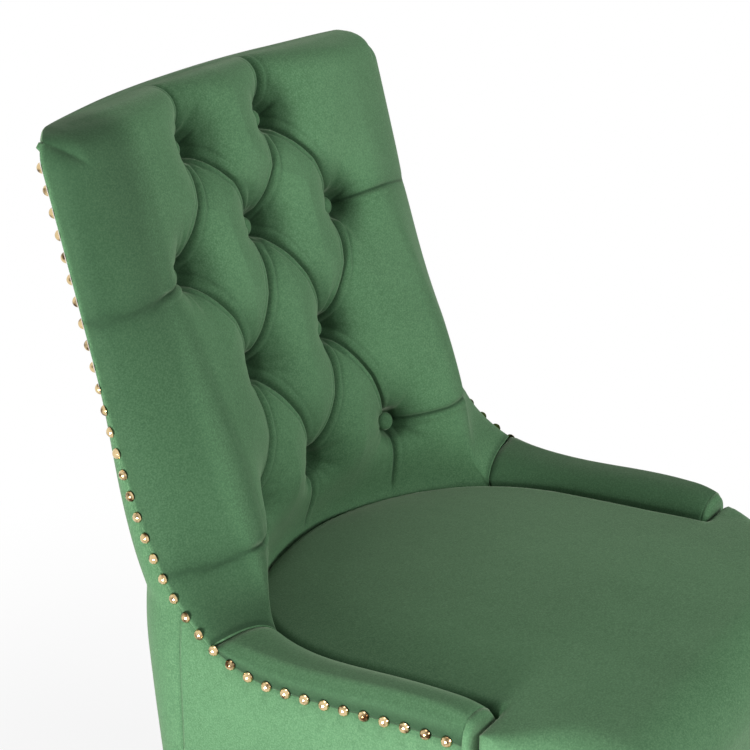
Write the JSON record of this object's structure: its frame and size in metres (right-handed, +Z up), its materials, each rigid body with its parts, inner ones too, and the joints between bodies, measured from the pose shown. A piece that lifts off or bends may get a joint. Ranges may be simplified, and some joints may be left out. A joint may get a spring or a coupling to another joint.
{
  "type": "dining chair",
  "caption": "Upholstered dining armchair with a tufted curved back sweeping into low arms, a T-shaped seat, domed nail trim and tapered wooden legs.",
  "frame": {"origin": "centre of the bounding box at floor level", "axes": "+X towards the sitter's left and the mirror plane's normal, -Y towards the front of the seat, +Z up"},
  "size_m": [0.5578, 0.6833, 0.943],
  "materials": {
    "velvet": "velvet",
    "foam": "open-cell foam",
    "webbing": "woven",
    "felt": "felted",
    "cambric": "non-woven",
    "frame_wood": "sawn",
    "leg_wood": "dark stained, satin",
    "brass": "polished",
    "steel": "zinc",
    "glide": "matte"
  },
  "bodies": {
    "root": {"front_rail": "frame_wood", "rear_rail": "frame_wood", "left_side_rail": "frame_wood", "right_side_rail": "frame_wood", "corner_blocks": "frame_wood", "left_back_post": "frame_wood", "right_back_post": "frame_wood", "crest_rail": "frame_wood", "lower_back_rail": "frame_wood", "left_arm_stump": "frame_wood", "right_arm_stump": "frame_wood", "left_arm_rail": "frame_wood", "right_arm_rail": "frame_wood", "seat_springs": "steel", "spring_clips": "steel", "seat_deck": "felt", "seat_foam": "foam", "front_padding": "foam", "seat_cover": "velvet", "back_webbing": "webbing", "back_foam": "foam", "back_cover": "velvet", "tufting_buttons": "velvet", "left_arm_foam": "foam", "right_arm_foam": "foam", "left_arm_cover": "velvet", "right_arm_cover": "velvet", "left_arm_facing": "velvet", "right_arm_facing": "velvet", "left_outside_arm": "velvet", "right_outside_arm": "velvet", "outside_back": "velvet", "left_nails": "brass", "right_nails": "brass", "dust_cover": "cambric", "left_front_leg": "leg_wood", "right_front_leg": "leg_wood", "left_rear_leg": "leg_wood", "right_rear_leg": "leg_wood", "leg_bolts": "steel", "glides": "glide"}
  },
  "joints": []
}
